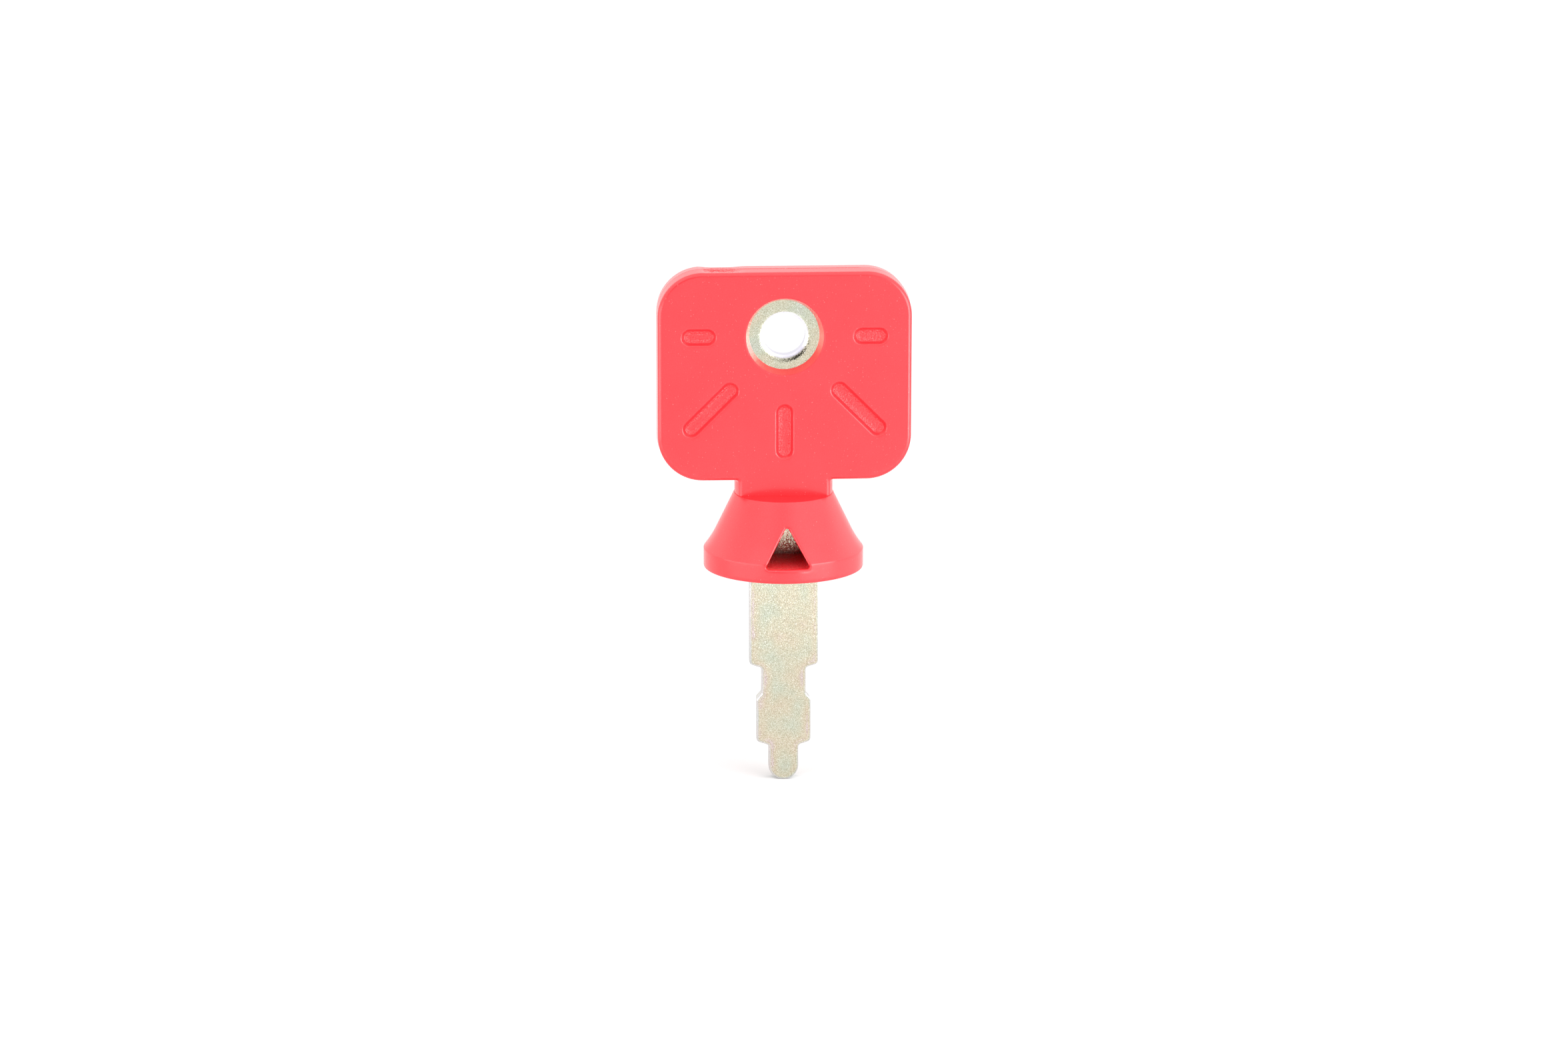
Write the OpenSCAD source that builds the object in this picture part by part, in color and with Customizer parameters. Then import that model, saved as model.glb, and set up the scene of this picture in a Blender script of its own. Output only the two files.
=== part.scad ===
// Ignition key: a stamped steel blade with an eye, moulded into a one-piece plastic head.
// The blade points down (-Z), the bow stands up (+Z) and the front face looks along -Y.
// The origin is on the blade's axis, in the flat underside of the collar that seats on the switch.

/* [Steel plate] */
// Thickness of the plate that the blade is stamped from
plate_t = 2.5; // [2:0.1:3]
// Radius on the outer corners of the blade's steps
step_corner_r = 0.7; // [0.3:0.1:0.9]
// Radius in the inner corners of the blade's steps
step_root_r = 0.5; // [0.2:0.1:0.8]
// Fall of each sloping shoulder
shoulder_h = 0.6; // [0.3:0.1:1]

/* [Blade steps] */
// Width of the stem, which runs up through the head to the eye
stem_w = 10.4; // [9.6:0.1:11.4]
// Length of the stem below the collar
stem_l = 15.1; // [12:0.1:18]
// Width of the waist
waist_w = 6.7; // [6:0.1:7.2]
// Length of the waist
waist_l = 4.1; // [3:0.1:6]
// Height over which the waist widens to the ward step
flare_h = 0.8; // [0.6:0.1:1.4]
// Width of the ward step
ward_w = 8.2; // [7.8:0.1:9]
// Length of the ward step
ward_l = 6.6; // [5:0.1:9]
// Width of the tip, which ends in a full round
tip_w = 4.5; // [3.8:0.1:5.2]
// Length of the tip
tip_l = 5.4; // [4:0.1:8]

/* [Eye] */
// Outside diameter of the eye, inside the bow
eye_od = 16; // [14:0.1:17]
// Bore for the key ring
ring_hole_d = 6.4; // [5:0.1:7.4]
// Rolled lip on both ends of the bore
lip_r = 0.6; // [0.3:0.1:0.8]
// Depth of the eye's centre below the top of the bow
eye_drop = 9.8; // [9.4:0.1:11]

/* [Bow] */
// Width of the bow, at the parting line
bow_w = 38; // [34:0.5:44]
// Height of the bow, at the parting line
bow_h = 31.7; // [30.5:0.1:36]
// Thickness of the bow and the neck
bow_t = 6.4; // [5.6:0.1:8]
// Corner radius of the bow's outline
bow_corner_r = 6.8; // [5:0.1:9]
// Rounding of the bow's and the neck's edges
edge_r = 0.5; // [0.3:0.05:0.7]
// How far each mould half draws in from the parting line to its face
draft_in = 0.12; // [0.05:0.01:0.25]

/* [Windows on the eye] */
// Window diameter at the face of the bow
window_d = 11.7; // [11:0.1:13]
// Window diameter at the steel
window_seat_d = 10.5; // [9.6:0.1:10.8]

/* [Radial slots] */
// Width of each slot at the face
slot_w = 2.8; // [2.2:0.1:3.4]
// Width of each slot's floor
slot_floor_w = 2.2; // [1.8:0.1:2.2]
// Depth of each slot
slot_depth = 0.5; // [0.3:0.05:0.7]
// Distance from the eye's centre to the inner end of every slot
slot_start = 10.2; // [9.5:0.1:10.6]
// Length of the two level slots
level_slot_l = 5.2; // [4:0.1:6]
// Length of the two diagonal slots
diagonal_slot_l = 10.8; // [8:0.1:12]
// Length of the upright slot
upright_slot_l = 8.4; // [6:0.1:9.5]

/* [Neck] */
// Width of the neck across its round sides
neck_d = 14.6; // [13.4:0.1:16]
// Height of the neck between the collar's ledge and the bow
neck_h = 2.3; // [1.6:0.1:4]
// Fillet where the neck meets the bow
neck_fillet_r = 0.5; // [0.3:0.1:0.9]

/* [Collar] */
// Diameter of the collar, which covers the switch's opening
collar_d = 24; // [22:0.5:28]
// Height of the upright band round the collar's foot
band_h = 2.9; // [2:0.1:4]
// Height of the bell above the band
bell_h = 8.5; // [7.6:0.1:10]
// Width of the ledge that the collar shows outside the neck
ledge_w = 0.15; // [0.1:0.05:0.4]
// How much steeper than straight the bell starts at the ledge, in degrees
bell_hollow = 2.2; // [1:0.1:4]
// Height above the band where the bell begins to flare
flare_rise = 2.9; // [2:0.1:4]
// Rounding of the ledge's rim and of the foot's lower edge
collar_edge_r = 0.25; // [0.1:0.05:0.4]

/* [Triangular windows] */
// Side of each triangle, before its corners are rounded
triangle_side = 6.9; // [5:0.1:7.5]
// Corner radius of each triangle
triangle_r = 0.35; // [0.2:0.05:0.7]
// Height of each triangle's floor above the collar's underside
triangle_z = 2.1; // [1.6:0.1:2.4]

/* [Hidden] */
$fn = 96;
arc_steps = 8;  // flats in one rounded corner of an outline
past = 1;       // how far a cut runs past the face that it opens
collar_r = collar_d / 2;
ring_r = ring_hole_d / 2;
face_y = bow_t / 2;
sink = edge_r + draft_in;  // how far the neck runs on into the collar and past the bow's rounded edge
ledge_z = band_h + bell_h;
neck_r = neck_d / 2;
ledge_r = neck_r + ledge_w;
bow_z = ledge_z + neck_h;
bow_top = bow_z + bow_h;
eye_z = bow_top - eye_drop;
shoulder_z = -stem_l;
waist_z = shoulder_z - shoulder_h;
flare_z = waist_z - waist_l;
ward_z = flare_z - flare_h;
ward_end_z = ward_z - ward_l;
tip_z = ward_end_z - shoulder_h;
tip_end_z = tip_z - tip_l;

// The arc of radius r that rounds the corner c between its neighbours a and b.
function corner_arc(a, c, b, r) =
    r == 0 ? [c] :
    let (
        to_a = (a - c) / norm(a - c),
        to_b = (b - c) / norm(b - c),
        half = acos(to_a * to_b) / 2,
        centre = c + (to_a + to_b) / norm(to_a + to_b) * r / sin(half),
        from = c + to_a * r / tan(half) - centre,
        to = c + to_b * r / tan(half) - centre,
        start = atan2(from.y, from.x),
        turn = atan2(from.x * to.y - from.y * to.x, from * to)
    )
    [for (i = [0 : arc_steps]) centre + r * [cos(start + turn * i / arc_steps), sin(start + turn * i / arc_steps)]];

// An outline from corners given as [x, y, radius].
function rounded(corners) =
    let (count = len(corners), at = [for (c = corners) [c.x, c.y]])
    [for (i = [0 : count - 1])
        each corner_arc(at[(i + count - 1) % count], at[i], at[(i + 1) % count], corners[i].z)];

// Stands a flat outline up in the XZ plane, centred on Y = 0.
module upright(thickness) {
    rotate([90, 0, 0])
        linear_extrude(height = thickness, center = true)
            children();
}

// The same feature on the front and on the back.
module both_faces() {
    children();
    rotate([0, 0, 180])
        children();
}

// ---- blade ----

// Right-hand side of the stepped blade, from the eye down to the tip.
function blade_side() = [
    [stem_w / 2, eye_z, 0],
    [stem_w / 2, shoulder_z, step_corner_r],
    [waist_w / 2, waist_z, step_root_r],
    [waist_w / 2, flare_z, step_root_r],
    [ward_w / 2, ward_z, step_corner_r],
    [ward_w / 2, ward_end_z, step_corner_r],
    [tip_w / 2, tip_z, step_root_r],
    [tip_w / 2, tip_end_z, tip_w / 2],
];

// The stamped plate before its bore: the head's moulding closes round exactly this shape.
module plate() {
    side = blade_side();
    far_side = [for (i = [len(side) - 1 : -1 : 0]) [-side[i].x, side[i].y, side[i].z]];
    upright(plate_t)
        polygon(rounded(concat(side, far_side)));
    translate([0, 0, eye_z])
        rotate([90, 0, 0])
            cylinder(d = eye_od, h = plate_t, center = true);
}

// The ring's bore with its two rolled lips, as one turned cutter.
module ring_bore() {
    lip_y = plate_t / 2 - lip_r;
    translate([0, 0, eye_z])
        rotate([90, 0, 0])
            rotate_extrude()
                difference() {
                    translate([0, -plate_t / 2 - past])
                        square([ring_r + lip_r, plate_t + 2 * past]);
                    translate([ring_r, -lip_y])
                        square([lip_r + past, 2 * lip_y]);
                    for (side = [-1, 1])
                        translate([ring_r + lip_r, side * lip_y])
                            circle(r = lip_r);
                }
}

module key_blade() {
    color("gainsboro")
        difference() {
            plate();
            ring_bore();
        }
}

// ---- head ----

// The bow's half section, from the middle of the wall out to the parting line.
function rim(reach) = [
    [reach - draft_in, -face_y, edge_r],
    [reach, 0, 0],
    [reach - draft_in, face_y, edge_r],
];

// The whole section across the bow: both rims.
function bow_section(reach) =
    concat(rim(reach), [for (i = [2 : -1 : 0]) [-rim(reach)[i].x, rim(reach)[i].y, rim(reach)[i].z]]);

module bow_corner() {
    rotate([90, 0, 0])
        rotate_extrude(angle = 90)
            polygon(rounded(concat([[0, -face_y, 0]], rim(bow_corner_r), [[0, face_y, 0]])));
}

module bow() {
    flat_w = bow_w - 2 * bow_corner_r;
    flat_h = bow_h - 2 * bow_corner_r;
    translate([0, 0, bow_z + bow_h / 2]) {
        rotate([90, 0, 90])
            linear_extrude(height = flat_w, center = true)
                rotate(90)
                    polygon(rounded(bow_section(bow_h / 2)));
        linear_extrude(height = flat_h, center = true)
            polygon(rounded(bow_section(bow_w / 2)));
        for (quarter = [0 : 3])
            rotate([0, 90 * quarter, 0])
                translate(quarter % 2 == 0
                    ? [flat_w / 2, 0, flat_h / 2]
                    : [flat_h / 2, 0, flat_w / 2])
                    bow_corner();
    }
}

// Hollow fillet that turns the neck's round sides out into the bow's lower edge.
module neck_fillet() {
    flat_y = face_y - edge_r;
    intersection() {
        rotate_extrude()
            difference() {
                translate([0, bow_z - neck_fillet_r])
                    square([neck_r + neck_fillet_r, neck_fillet_r + sink]);
                translate([neck_r + neck_fillet_r, bow_z - neck_fillet_r])
                    circle(r = neck_fillet_r);
            }
        translate([-bow_w / 2, -flat_y, ledge_z])
            cube([bow_w, 2 * flat_y, bow_h]);
    }
}

// The neck is a round bar cut flat on the front and back, flush with the bow, with rounded edges.
module neck() {
    flat_y = face_y - edge_r;
    edge_x = sqrt(neck_r * neck_r - flat_y * flat_y);
    neck_l = neck_h + 2 * sink;
    translate([0, 0, ledge_z - sink]) {
        intersection() {
            cylinder(r = neck_r, h = neck_l);
            translate([-neck_r - past, -flat_y, 0])
                cube([2 * (neck_r + past), 2 * flat_y, neck_l]);
        }
        linear_extrude(height = neck_l)
            polygon(rounded([
                [-edge_x, -face_y, edge_r],
                [edge_x, -face_y, edge_r],
                [edge_x, face_y, edge_r],
                [-edge_x, face_y, edge_r],
            ]));
    }
    neck_fillet();
}

module collar() {
    rim_at = [ledge_r, ledge_z];
    foot_at = [collar_r, band_h];
    bell_angle = atan2(foot_at.x - rim_at.x, bell_h) - bell_hollow;
    down = [sin(bell_angle), -cos(bell_angle)];
    out = [cos(bell_angle), sin(bell_angle)];
    flare_at = rim_at + down * (bell_h - flare_rise) / cos(bell_angle);
    chord = foot_at - flare_at;
    flare_r = chord * chord / (2 * chord * out);
    rotate_extrude()
        difference() {
            polygon(rounded([
                [0, 0, 0],
                [collar_r, 0, collar_edge_r],
                [foot_at.x, foot_at.y, 0],
                [flare_at.x, flare_at.y, 0],
                [rim_at.x, rim_at.y, collar_edge_r],
                [0, ledge_z, 0],
            ]));
            translate(flare_at + out * flare_r)
                circle(r = flare_r);
        }
}

// Tapered window over the eye, from the steel out through the face.
module eye_window() {
    depth = face_y - plate_t / 2;
    taper = (window_d - window_seat_d) / 2 / depth;
    translate([0, -plate_t / 2, eye_z])
        rotate([90, 0, 0])
            cylinder(h = depth + past, r1 = window_seat_d / 2, r2 = window_d / 2 + past * taper);
}

// Slot with sloping walls: the axis runs along +X from the slot's inner end, the floor is at depth.
module slot(length) {
    run = length - slot_w;
    slope = (slot_w - slot_floor_w) / 2 / slot_depth;
    mouth_w = slot_w + 2 * past * slope;
    translate([slot_w / 2, 0, -slot_depth]) {
        for (end = [0, run])
            translate([end, 0, 0])
                cylinder(h = slot_depth + past, d1 = slot_floor_w, d2 = mouth_w);
        rotate([90, 0, 90])
            linear_extrude(height = run)
                polygon([
                    [-slot_floor_w / 2, 0],
                    [slot_floor_w / 2, 0],
                    [mouth_w / 2, slot_depth + past],
                    [-mouth_w / 2, slot_depth + past],
                ]);
    }
}

// Five slots that radiate from the eye, on one face.
module slots() {
    rays = [
        [0, level_slot_l],
        [-45, diagonal_slot_l],
        [-90, upright_slot_l],
        [-135, diagonal_slot_l],
        [180, level_slot_l],
    ];
    translate([0, -face_y, eye_z])
        rotate([90, 0, 0])
            for (ray = rays)
                rotate(ray[0])
                    translate([slot_start, 0, 0])
                        slot(ray[1]);
}

// Three-cornered window that runs level from the bell's wall to the steel.
module triangle_window() {
    reach = collar_r + past - plate_t / 2;
    translate([0, -plate_t / 2 - reach / 2, triangle_z])
        upright(reach)
            polygon(rounded([
                [-triangle_side / 2, 0, triangle_r],
                [triangle_side / 2, 0, triangle_r],
                [0, triangle_side * sin(60), triangle_r],
            ]));
}

module key_head() {
    color("crimson")
        difference() {
            union() {
                bow();
                neck();
                collar();
            }
            plate();
            both_faces() {
                eye_window();
                slots();
                triangle_window();
            }
        }
}

key_blade();
key_head();
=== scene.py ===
import math

import bmesh
import bpy
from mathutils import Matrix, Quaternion, Vector, noise
from mathutils.geometry import delaunay_2d_cdt


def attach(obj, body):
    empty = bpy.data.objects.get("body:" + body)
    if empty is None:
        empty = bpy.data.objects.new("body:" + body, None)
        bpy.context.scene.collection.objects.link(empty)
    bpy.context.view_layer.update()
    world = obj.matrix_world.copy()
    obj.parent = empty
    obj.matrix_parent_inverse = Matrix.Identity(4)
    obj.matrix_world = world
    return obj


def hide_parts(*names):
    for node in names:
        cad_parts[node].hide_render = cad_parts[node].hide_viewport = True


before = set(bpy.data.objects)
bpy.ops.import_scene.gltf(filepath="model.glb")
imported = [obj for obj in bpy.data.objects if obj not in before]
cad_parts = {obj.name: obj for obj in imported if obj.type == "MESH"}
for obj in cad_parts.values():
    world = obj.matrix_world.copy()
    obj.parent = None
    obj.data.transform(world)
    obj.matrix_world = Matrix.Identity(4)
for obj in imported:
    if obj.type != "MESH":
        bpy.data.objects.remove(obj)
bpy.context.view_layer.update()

mm = 0.001  # every shape below is worked out in millimetres and scaled once
print("frame loaded:", sorted(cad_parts))


def degrees(*angles):
    return [math.radians(angle) for angle in angles]


def toLinear(hexColour):
    # sRGB hex to the linear RGBA that the shaders take
    channels = [int(hexColour[i:i + 2], 16) / 255 for i in (1, 3, 5)]
    return [c / 12.92 if c <= 0.04045 else ((c + 0.055) / 1.055) ** 2.4 for c in channels] + [1]


softStep = {"interpolation_type": "SMOOTHSTEP"}
colourMix = {"data_type": "RGBA"}
numberMix = {"data_type": "FLOAT"}


def addNode(tree, kind, settings=None, inputs=None):
    # an input is given a plain value, or a socket to link from
    node = tree.nodes.new(kind)
    for name, value in (settings or {}).items():
        setattr(node, name, value)
    for name, value in (inputs or {}).items():
        if isinstance(value, bpy.types.NodeSocket):
            tree.links.new(value, node.inputs[name])
        else:
            node.inputs[name].default_value = value
    return node


cameraSet = {
    "target": (0.0917, 0, 6.5455),  # mm, in the middle of the picture
    "distance": 800,
    "toTheLeft": 3.5268,  # degrees
    "above": 13.5612,
    "roll": 0.1095,
    "lens": 122.33,
    "sensor": 36,
}


def addCamera():
    side, rise, roll = degrees(cameraSet["toTheLeft"], cameraSet["above"], cameraSet["roll"])
    back = Vector((-math.sin(side) * math.cos(rise), -math.cos(side) * math.cos(rise), math.sin(rise)))
    data = bpy.data.cameras.new("camera")
    data.lens = cameraSet["lens"]
    data.sensor_width = cameraSet["sensor"]
    data.clip_start = 10 * mm
    data.clip_end = 20
    camera = bpy.data.objects.new("camera", data)
    bpy.context.scene.collection.objects.link(camera)
    camera.rotation_mode = "QUATERNION"
    camera.location = (Vector(cameraSet["target"]) + back * cameraSet["distance"]) * mm
    camera.rotation_quaternion = (-back).to_track_quat("-Z", "Y") @ Quaternion((0, 0, 1), roll)
    bpy.context.scene.camera = camera


addCamera()
print("camera placed")


def roundedPath(corners, steps=6, longest=None):
    # an open path with an arc at each inner corner, from (a, b, radius); longest splits its straights
    path = []
    for i, (a, b, radius) in enumerate(corners):
        corner = Vector((a, b))
        if radius == 0 or i in (0, len(corners) - 1):
            path.append(corner)
            continue
        before = (Vector(corners[i - 1][:2]) - corner).normalized()
        after = (Vector(corners[i + 1][:2]) - corner).normalized()
        half = before.angle(after) / 2
        centre = corner + (before + after).normalized() * radius / math.sin(half)
        spoke = corner + before * radius / math.tan(half) - centre
        turn = (math.pi - 2 * half) * (1 if before.x * after.y - before.y * after.x < 0 else -1)
        for k in range(steps + 1):
            angle = turn * k / steps
            path.append(centre + Vector((
                spoke.x * math.cos(angle) - spoke.y * math.sin(angle),
                spoke.x * math.sin(angle) + spoke.y * math.cos(angle),
            )))
    if longest is None:
        return path
    split = [path[0]]
    for start, end in zip(path, path[1:]):
        parts = max(1, math.ceil((end - start).length / longest))
        split += [start.lerp(end, k / parts) for k in range(1, parts + 1)]
    return split


def outwards(path):
    # the normal at each point of a closed path that runs anticlockwise
    found = []
    for i in range(len(path)):
        along = (path[(i + 1) % len(path)] - path[i - 1]).normalized()
        found.append(Vector((along.y, -along.x)))
    return found


def between(ends, share):
    return ends[0] + (ends[1] - ends[0]) * share


def smoothStep(low, high, value):
    share = min(1, max(0, (value - low) / (high - low)))
    return share * share * (3 - 2 * share)


class Shell:
    # one skin, sewn from loops of points that share their edges
    def __init__(self):
        self.points = []
        self.finish = []  # a number at each point, from which the material tells how it was finished
        self.faces = []
        self.strengths = []  # where two kinds of face meet, the stronger one gives the normal

    def add(self, coords, finish=0.0):
        start = len(self.points)
        self.points.extend(Vector(c) for c in coords)
        count = len(self.points) - start
        self.finish.extend(finish if isinstance(finish, list) else [finish] * count)
        return list(range(start, len(self.points)))

    def band(self, near, far, closed=True, strength=0):
        for i in range(len(near) if closed else len(near) - 1):
            j = (i + 1) % len(near)
            self.faces.append((near[i], near[j], far[j], far[i]))
            self.strengths.append(strength)

    def bands(self, rings, closed=True, strength=0):
        for near, far in zip(rings, rings[1:]):
            self.band(near, far, closed, strength)

    def fill(self, loops, flatten, extra=(), strength=2):
        # triangles between an outer loop and the holes in it
        ids = [i for loop in loops for i in loop] + list(extra)
        spots = [Vector(flatten(i)) for i in ids]
        polygons = []
        start = 0
        for loop in loops:
            ring = list(range(start, start + len(loop)))
            turning = sum(spots[a].cross(spots[b]) for a, b in zip(ring, ring[1:] + ring[:1]))
            polygons.append(ring if turning > 0 else ring[::-1])
            start += len(loop)
        insideOnly = 1
        _, _, faces, origins, _, within = delaunay_2d_cdt(spots, [], polygons, insideOnly, 1e-5, True)
        for face, loopsRound in zip(faces, within):
            if list(loopsRound) == [0]:  # within the outer loop and in none of the holes
                self.faces.append(tuple(ids[origins[v][0]] for v in face))
                self.strengths.append(strength)

    def toObject(self, name, sharpAngle=35, sameSpot=2e-7):
        mesh = bpy.data.meshes.new(name)
        mesh.from_pydata([p * mm for p in self.points], [], self.faces)
        strengths = mesh.attributes.new("__mod_weightednormals_faceweight", "INT", "FACE")
        strengths.data.foreach_set("value", self.strengths)
        finish = mesh.attributes.new("finish", "FLOAT", "POINT")
        finish.data.foreach_set("value", self.finish)
        work = bmesh.new()
        work.from_mesh(mesh)
        bmesh.ops.remove_doubles(work, verts=work.verts, dist=sameSpot)
        bmesh.ops.recalc_face_normals(work, faces=work.faces)
        openEdges = sum(len(e.link_faces) != 2 for e in work.edges)
        print(f"{name}: {len(work.faces)} faces, {openEdges} open edges, {work.calc_volume() * 1e9:.1f} mm3")
        work.to_mesh(mesh)
        work.free()
        mesh.shade_smooth()
        mesh.set_sharp_from_angle(angle=math.radians(sharpAngle))
        piece = bpy.data.objects.new(name, mesh)
        bpy.context.scene.collection.objects.link(piece)
        weighted = piece.modifiers.new("weightedNormals", "WEIGHTED_NORMAL")
        weighted.keep_sharp = True
        weighted.use_face_influence = True
        return piece


blade = {
    "thickness": 2.5,
    "stem": (10.4, -15.1),  # width, and the height where the step ends
    "waist": (6.7, -19.8),
    "ward": (8.2, -27.2),
    "tip": (4.5, -33.2),
    "shoulderFall": 0.6,
    "flareFall": 0.8,
    "cornerRound": 0.7,
    "rootRound": 0.5,
    "eyeHeight": 35.6,
    "eyeDiameter": 16,
    "boreDiameter": 6.4,
    "lipWidth": (0.7, 1.2),  # the bore's rim rolls in over this width, least and most
    "lipSlope": (8, 31),
    "lipDeepest": -75,  # degrees round the bore, where the punch pressed hardest
    "lipBeyond": 0.12,  # the flat face is level again this far outside the lip
    "lipRubbed": (0.5, 0.8),  # the key ring has rubbed the lip bright between these shares of its width
    "dieRoll": 0.18,  # the punch drags the front edge over
    "punchOffset": 0.55,  # off centre, so the roll is this share wider on the left and narrower on the right
    "burrRound": 0.1,
    "fracture": 0.05,  # how far the torn part of the wall stands back
    "tear": (-0.35, 0.1, 0.3),  # the y where the tear starts and where it is full, and its rounding
    "rubbedWall": (0.5, 0.3),  # how rubbed the wall is in its front and back half
    "rubbedBorder": (0.3, 0.15),  # how far the rubbed edge fades into the front and the back face
    "filmBorder": (0.4, 1.7),  # the film's colour changes between these distances from the edge
}
eyeCentre = Vector((0, blade["eyeHeight"]))
eyeRadius = blade["eyeDiameter"] / 2
stemHalf = blade["stem"][0] / 2
eyeFoot = blade["eyeHeight"] - math.sqrt(eyeRadius ** 2 - stemHalf ** 2)
plateFace = blade["thickness"] / 2


def eyeArc(parts=60):
    # round the eye from the stem's right side over the top to its left side
    start = math.atan2(eyeFoot - blade["eyeHeight"], stemHalf)
    sweep = math.pi - 2 * start
    angles = [start + sweep * k / parts for k in range(parts + 1)]
    return [eyeCentre + eyeRadius * Vector((math.cos(a), math.sin(a))) for a in angles]


def stepSide():
    # right-hand side from the tip's lowest point up to the collar's underside
    corner, root = blade["cornerRound"], blade["rootRound"]
    fall, flare = blade["shoulderFall"], blade["flareFall"]
    stem, waist, ward, tip = (blade[step][0] / 2 for step in ("stem", "waist", "ward", "tip"))
    stemZ, waistZ, wardZ, tipZ = (blade[step][1] for step in ("stem", "waist", "ward", "tip"))
    tipArc = [Vector((tip * math.sin(a), tipZ + tip - tip * math.cos(a))) for a in degrees(*range(0, 90, 6))]
    steps = roundedPath([
        (tip, tipZ + tip, 0),
        (tip, wardZ - fall, root),
        (ward, wardZ, corner),
        (ward, waistZ - flare, corner),
        (waist, waistZ, root),
        (waist, stemZ - fall, root),
        (stem, stemZ, corner),
        (stem, 0, 0),
    ], steps=7, longest=0.8)
    return tipArc + steps


def plateOutline():
    side = stepSide()
    stem = [Vector((stemHalf, eyeFoot * k / 20)) for k in range(1, 20)]
    mirrored = [Vector((-p.x, p.y)) for p in reversed((side + stem)[1:])]
    return side + stem + eyeArc() + mirrored


def insideOutline(point, outline):
    crossings = 0
    for a, b in zip(outline, outline[1:] + outline[:1]):
        if (a.y > point.y) != (b.y > point.y):
            crossings += point.x < a.x + (point.y - a.y) / (b.y - a.y) * (b.x - a.x)
    return crossings % 2 == 1


def buildSteelBlade():
    shell = Shell()
    outline = plateOutline()
    normals = outwards(outline)
    tearStart, tearFull, tearRound = blade["tear"]
    steps = 5
    edge = roundedPath([
        (-1, -plateFace, 0),
        (0, -plateFace, blade["dieRoll"]),
        (0, tearStart, tearRound),
        (-blade["fracture"], tearFull, tearRound),
        (-blade["fracture"], plateFace, blade["burrRound"]),
        (-1, plateFace, 0),
    ], steps)[1:-1]

    def outlineRing(reach, y, finish, rolled=False):
        ring = []
        for p, n in zip(outline, normals):
            wide = 1 - blade["punchOffset"] * n.x if rolled else 1
            ring.append((
                p.x + n.x * reach * wide,
                (y + plateFace) * wide - plateFace,
                p.y + n.y * reach * wide,
            ))
        # the film only changes colour on the bare blade, below the collar
        return shell.add(ring, [finish if p.y < 0 else max(0, finish) for p in outline])

    frontBorder, backBorder = blade["rubbedBorder"]
    rings = [outlineRing(edge[0][0] - frontBorder, -plateFace, -1)]
    for k, (reach, y) in enumerate(edge):
        rings.append(outlineRing(reach, y, blade["rubbedWall"][0 if y < 0 else 1], rolled=k <= steps))
    rings.append(outlineRing(edge[-1][0] - backBorder, plateFace, 0))
    shell.bands(rings[:2], strength=2)
    shell.bands(rings[1:-1])
    shell.bands(rings[-2:], strength=2)
    # the punch drew the metal round the bore down into a soft lip
    boreRadius = blade["boreDiameter"] / 2
    lipSteps = 13
    levels = [(-1, 0, blade["lipBeyond"])]  # side of the plate, steps down the lip, and how far outside it
    levels += [(-1, k, 0) for k in range(lipSteps + 1)]
    levels += [(1, k, 0) for k in range(lipSteps, 0, -1)]
    levels += [(1, 0, blade["lipBeyond"])]
    boreRings = []
    for side, step, beyond in levels:
        share = math.sin(step / lipSteps * math.pi / 2)
        ring = []
        for a in degrees(*range(0, 360, 3)):
            hardest = 0.5 + 0.5 * math.cos(a - math.radians(blade["lipDeepest"]))
            wide = between(blade["lipWidth"], hardest)
            roll = wide / math.sin(math.radians(between(blade["lipSlope"], hardest)))
            drop = roll - math.sqrt(roll ** 2 - (wide * share) ** 2)
            radius = boreRadius + wide * (1 - share) + beyond
            ring.append((radius * math.cos(a), side * (plateFace - drop), eyeCentre.y + radius * math.sin(a)))
        boreRings.append(shell.add(ring, smoothStep(*blade["lipRubbed"], share)))
    shell.bands(boreRings[:2], strength=2)
    shell.bands(boreRings[1:-1])
    shell.bands(boreRings[-2:], strength=2)
    # the film's colour changes towards the edge, so the face gets points that carry the change
    pitch, lowest, clear = 0.8, -32.8, 0.75
    for rim, hole, y in ((rings[0], boreRings[0], -plateFace), (rings[-1], boreRings[-1], plateFace)):
        loose = []
        for i in range(-6, 7):
            for k in range(42):
                place = Vector((i * pitch, lowest + k * pitch))
                toEdge = min((place - p).length for p in outline if p.y < 4)
                if insideOutline(place, outline) and toEdge > clear:
                    loose += shell.add([(place.x, y, place.y)], smoothStep(*blade["filmBorder"], toEdge) - 1)
        shell.fill([rim, hole], lambda i: (shell.points[i].x, shell.points[i].z), loose)
    return shell.toObject("steelBlade")


steelBlade = buildSteelBlade()


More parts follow.
